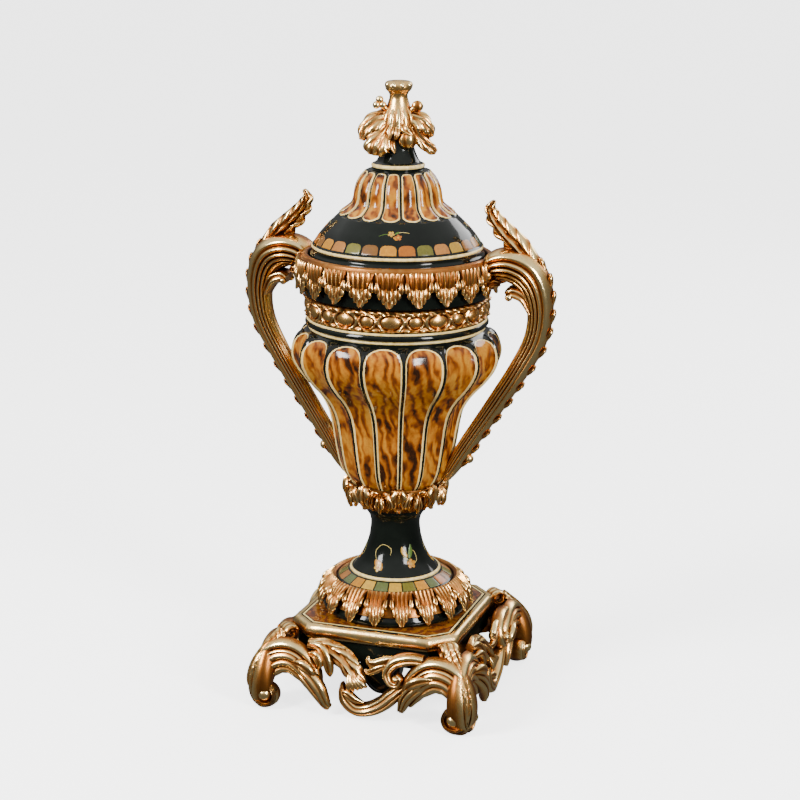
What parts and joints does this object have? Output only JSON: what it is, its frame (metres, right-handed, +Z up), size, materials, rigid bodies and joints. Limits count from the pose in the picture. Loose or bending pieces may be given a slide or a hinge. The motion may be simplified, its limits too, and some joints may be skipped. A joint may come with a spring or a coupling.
{
  "type": "covered mantel urn",
  "caption": "Tall covered ornamental urn: lobed inlaid bowl and lid in black lacquer, gilt scroll handles, leaf collars, foliate finial and open scroll base.",
  "frame": {"origin": "on the ground under the urn's vertical axis, in the middle of the four feet", "axes": "+Z up; X along the two handles; -Y the front"},
  "size_m": [0.295, 0.223, 0.562],
  "materials": {
    "gilt": "satin gilding over a red-brown ground, darker in the recesses",
    "lacquered_wood": "glossy black lacquer with cream lines, coloured tiles and small inlaid flowers",
    "inlaid_wood": "glossy amber and brown burl panels outlined in cream on black lacquer"
  },
  "bodies": {
    "root": {"scroll_base": "gilt", "plinth": "inlaid_wood", "plinth_moulding": "gilt", "stem": "lacquered_wood", "foot_collar": "gilt", "calyx_collar": "gilt", "bowl": "inlaid_wood", "frieze_band": "gilt", "rim_collar": "gilt", "handle_left": "gilt", "handle_right": "gilt", "lid": "inlaid_wood", "finial": "gilt"}
  },
  "joints": []
}
